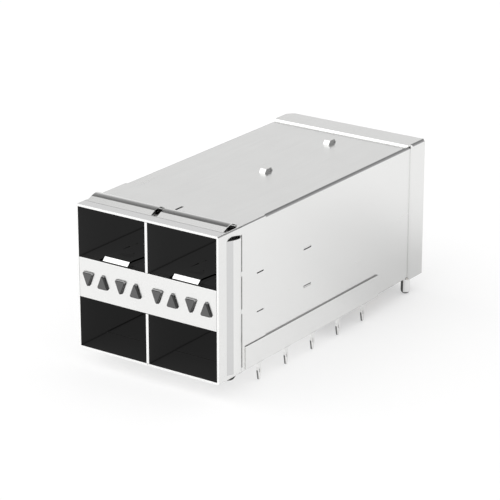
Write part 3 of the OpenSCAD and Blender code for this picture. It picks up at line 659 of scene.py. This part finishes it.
class CAGE_OT_strips(bpy.types.Operator):
    """Finish the sprung strips round the mouth"""

    bl_idname = "cage.strips"
    bl_label = "Finish Sprung Strips"

    def execute(self, context):
        finish = context.scene.cage_finishes
        flaps = [("y", "LESS_THAN", FLAP_END + HAIR)]
        # Painted shade on the lead-in ramps of the side flaps and on all the lips, and darker
        # painted shade on the line at the flaps' roots
        lips = [("nz", "GREATER_THAN", FACING), ("y", "LESS_THAN", FLAP_ROOT)]
        ramps = [("side_nx", "GREATER_THAN", 0.5), ("ny", "LESS_THAN", -0.4)]
        shaded_roots = [
            ("y", "GREATER_THAN", FLAP_ROOT - 0.16 * MM), ("y", "LESS_THAN", FLAP_ROOT),
            ("nz", "GREATER_THAN", FACING),
        ]
        # Painted shade along the free edges of the side flaps
        shaded_free_edges = [
            ("side_nx", "GREATER_THAN", 0.5), ("y", "GREATER_THAN", FLAP_END - 0.3 * MM),
            ("y", "LESS_THAN", FLAP_END + HAIR),
            ("z", "GREATER_THAN", SHELL_LOW.z + FLAP_FOOT),
            ("z", "LESS_THAN", ROOF - FLAP_HEAD),
        ]
        # Painted highlight on the strips' front rims
        rims = [("ny", "LESS_THAN", -FACING), ("y", "LESS_THAN", MOUTH_Y + 0.05 * MM)]
        material = nickel_plated_sheet(
            "nickel_plated_spring_steel", finish,
            tints=[(finish.ramp_shade, [ramps]), (finish.lip_shade, [lips]), (finish.fold_and_edge_shade, [shaded_roots]),
                   (finish.edge_and_gap_shade, [shaded_free_edges]), (finish.polished, [rims])],
            walls=True, sprung=[flaps])
        paint(material, "emi_strip_top", "emi_strip_bottom", "emi_strip_left", "emi_strip_right")
        return {"FINISHED"}


class CAGE_OT_light_pipes(bpy.types.Operator):
    """Finish the eight light pipes"""

    bl_idname = "cage.light_pipes"
    bl_label = "Finish Light Pipes"

    def execute(self, context):
        finish = context.scene.cage_finishes
        bars = [("y", "GREATER_THAN", HOLDER_END)]
        material = moulded_polycarbonate("moulded_polycarbonate", finish, [bars])
        paint(material, *[f"light_pipe_{i}" for i in range(1, 9)])
        return {"FINISHED"}


class CAGE_OT_plastics(bpy.types.Operator):
    """Finish the connector housings and the light pipe holders"""

    bl_idname = "cage.plastics"
    bl_label = "Finish Plastics"

    def execute(self, context):
        finish = context.scene.cage_finishes
        within = [
            ("side_x", "LESS_THAN", SHELL_HIGH.x), ("z", "GREATER_THAN", SHELL_LOW.z)]
        material = moulded_lcp("moulded_glass_filled_lcp", finish, 0.48, [within])
        paint(material, "connector_left", "connector_right",
              "light_pipe_holder_left", "light_pipe_holder_right")
        return {"FINISHED"}


class CAGE_OT_contacts(bpy.types.Operator):
    """Finish the contacts and the board pegs"""

    bl_idname = "cage.contacts"
    bl_label = "Finish Contacts And Pegs"

    def execute(self, context):
        finish = context.scene.cage_finishes
        gold = plated_metal("gold_flashed_phosphor_bronze", finish.contact, 0.22, 0.1)
        paint(gold, "left_upper_contacts", "left_lower_contacts",
              "right_upper_contacts", "right_lower_contacts")
        # Brightness falls off round a peg to its far flank and under its rounded end
        flanks = [
            [("nx", "LESS_THAN", 0.0), ("ny", "LESS_THAN", -0.55)], [("nz", "LESS_THAN", -0.2)]]
        bright = plated_metal(
            "bright_nickel_plated_brass", finish.peg, 0.1, 0.15, flanks, finish.peg_flank)
        paint(bright, "board_peg_left", "board_peg_right")
        return {"FINISHED"}


def studio_world(brightest):
    """Studio as the metal sees it: cards, a flag and softboxes drawn on the sky."""
    world = bpy.data.worlds.new("studio")
    world.use_nodes = True
    tree = world.node_tree
    tree.nodes.clear()
    direction = add_node(tree, "ShaderNodeTexCoord").outputs["Generated"]
    axes = add_node(tree, "ShaderNodeSeparateXYZ", {0: direction})
    angle = add_node(
        tree, "ShaderNodeMath", {0: axes.outputs[1], 1: axes.outputs[0]}, operation="ARCTAN2"
    ).outputs[0]
    turns = add_node(
        tree, "ShaderNodeMath", {0: angle, 1: 1 / math.tau}, operation="MULTIPLY").outputs[0]
    # Turns from +X round to the left, 0 to 1
    round_by = add_node(tree, "ShaderNodeMath", {0: turns}, operation="FRACT").outputs[0]

    def by_height(levels):
        stops = [(math.sin(math.radians(height)), level) for height, level in levels]
        return add_node(
            tree, "ShaderNodeValToRGB", {0: axes.outputs[2]}, stops=stops).outputs[0]

    light = by_height(WALLS)
    blur = SECTOR_BLUR / 360
    for (start, end), levels in SECTORS:
        start, end = start / 360, end / 360
        stops = [(start - blur, 0.0), (start + blur, 1.0), (end - blur, 1.0), (end + blur, 0.0)]
        within = add_node(
            tree, "ShaderNodeValToRGB", {0: round_by}, stops=stops).outputs[0]
        light = add_node(
            tree, "ShaderNodeMix", {0: within, 6: light, 7: by_height(levels)}, data_type="RGBA"
        ).outputs[2]
    background = add_node(
        tree, "ShaderNodeBackground", {"Color": light, "Strength": brightest}).outputs[0]
    add_node(tree, "ShaderNodeOutputWorld", {"Surface": background})
    return world


class CAGE_OT_stage(bpy.types.Operator):
    """Set up the floor, the soft light and the camera"""

    bl_idname = "cage.stage"
    bl_label = "Set Up Stage"

    def execute(self, context):
        stage = context.scene.cage_stage
        half = stage.floor_size / 2
        mesh = bpy.data.meshes.new("floor")
        corners = [(-half, -half, 0), (half, -half, 0), (half, half, 0), (-half, half, 0)]
        mesh.from_pydata(corners, [], [(0, 1, 2, 3)])
        floor = bpy.data.objects.new("floor", mesh)
        floor.location.z = CAD_BOX[0].z
        context.scene.collection.objects.link(floor)
        # Opal acrylic, lit from below: white, matt, and pale even in the part's shadow
        material, tree, output = new_material("backlit_opal_acrylic")
        surface = add_node(
            tree, "ShaderNodeBsdfPrincipled",
            {"Base Color": opaque(stage.floor), "Roughness": 0.9, "Specular IOR Level": 0.1,
             "Emission Color": opaque((1.0, 1.0, 1.0)), "Emission Strength": stage.floor_glow},
        ).outputs[0]
        tree.links.new(surface, output.inputs["Surface"])
        mesh.materials.append(material)

        context.scene.world = studio_world(stage.brightest)

        lens = bpy.data.cameras.new("camera")
        lens.lens = stage.lens_mm
        lens.sensor_width = 36
        lens.clip_start = 0.01
        lens.clip_end = 50
        camera = bpy.data.objects.new("camera", lens)
        camera.location = stage.position
        camera.rotation_euler = (math.pi / 2 - stage.elevation, 0, stage.azimuth)
        context.scene.collection.objects.link(camera)
        context.scene.camera = camera
        context.scene.view_settings.view_transform = "Standard"
        return {"FINISHED"}


class CAGE_PT_sidebar(bpy.types.Panel):
    """Sidebar with the cage's finishes, stage and operators"""

    bl_idname = "CAGE_PT_sidebar"
    bl_label = "SFP Cage"
    bl_space_type = "VIEW_3D"
    bl_region_type = "UI"
    bl_category = "SFP Cage"

    def draw(self, context):
        layout = self.layout
        for group in (context.scene.cage_finishes, context.scene.cage_stage):
            box = layout.box()
            for key in group.__annotations__:
                box.prop(group, key)
        for operator in OPERATORS:
            layout.operator(operator.bl_idname)


OPERATORS = (
    CAGE_OT_sheet, CAGE_OT_separator, CAGE_OT_strips, CAGE_OT_light_pipes,
    CAGE_OT_plastics, CAGE_OT_contacts, CAGE_OT_stage)
CLASSES = (CageFinishes, CageStage, *OPERATORS, CAGE_PT_sidebar)


def register():
    """Register the classes and hang the settings on the scene."""
    for cls in CLASSES:
        bpy.utils.register_class(cls)
    bpy.types.Scene.cage_finishes = PointerProperty(type=CageFinishes)
    bpy.types.Scene.cage_stage = PointerProperty(type=CageStage)


def unregister():
    """Take the settings and the classes away again."""
    del bpy.types.Scene.cage_stage
    del bpy.types.Scene.cage_finishes
    for cls in reversed(CLASSES):
        bpy.utils.unregister_class(cls)


def main():
    """Register, and run every operator in order."""
    register()
    for operator in OPERATORS:
        group, _, action = operator.bl_idname.partition(".")
        getattr(getattr(bpy.ops, group), action)()


if __name__ == "__main__":
    main()
